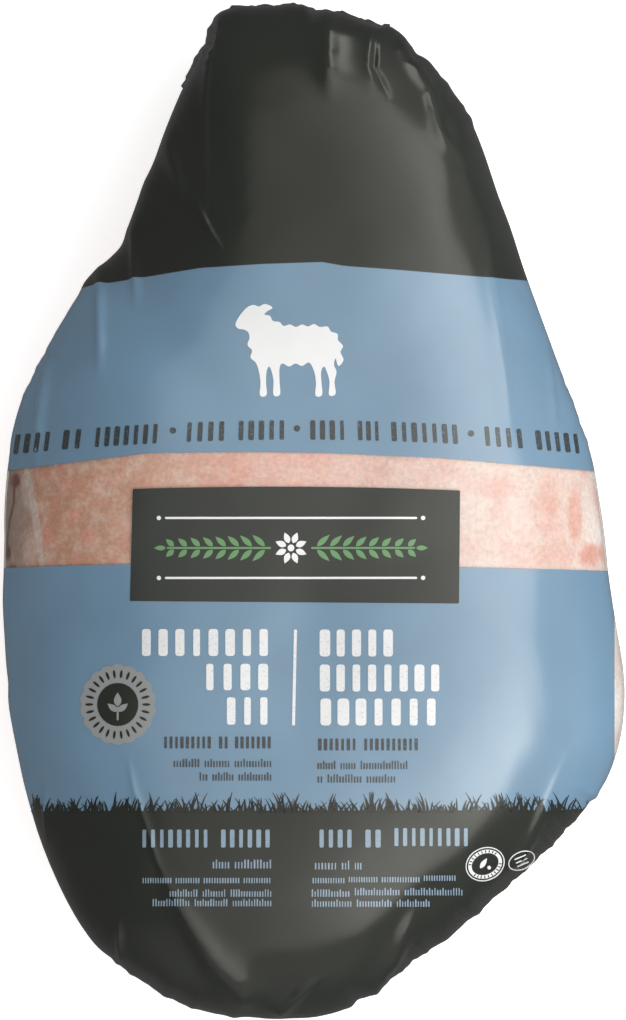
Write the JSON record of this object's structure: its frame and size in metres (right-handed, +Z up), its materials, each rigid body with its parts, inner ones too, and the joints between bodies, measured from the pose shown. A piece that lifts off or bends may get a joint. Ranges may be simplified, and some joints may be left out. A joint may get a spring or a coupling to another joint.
{
  "type": "shrink-wrapped boneless leg of lamb",
  "caption": "Boneless leg of lamb in a tight printed shrink bag, lying on its back with the printed face up.",
  "frame": {"origin": "on the surface the pack lies on, under the middle of its plan outline", "axes": "+Z is up, out of the printed face; +Y runs along the pack towards the narrow shank end; +X is to the right of the print as it is read"},
  "size_m": [0.172, 0.28, 0.0863],
  "materials": {
    "printed_film": "glossy",
    "meat": "moist"
  },
  "bodies": {
    "root": {"packed_leg": "printed_film"}
  },
  "joints": []
}
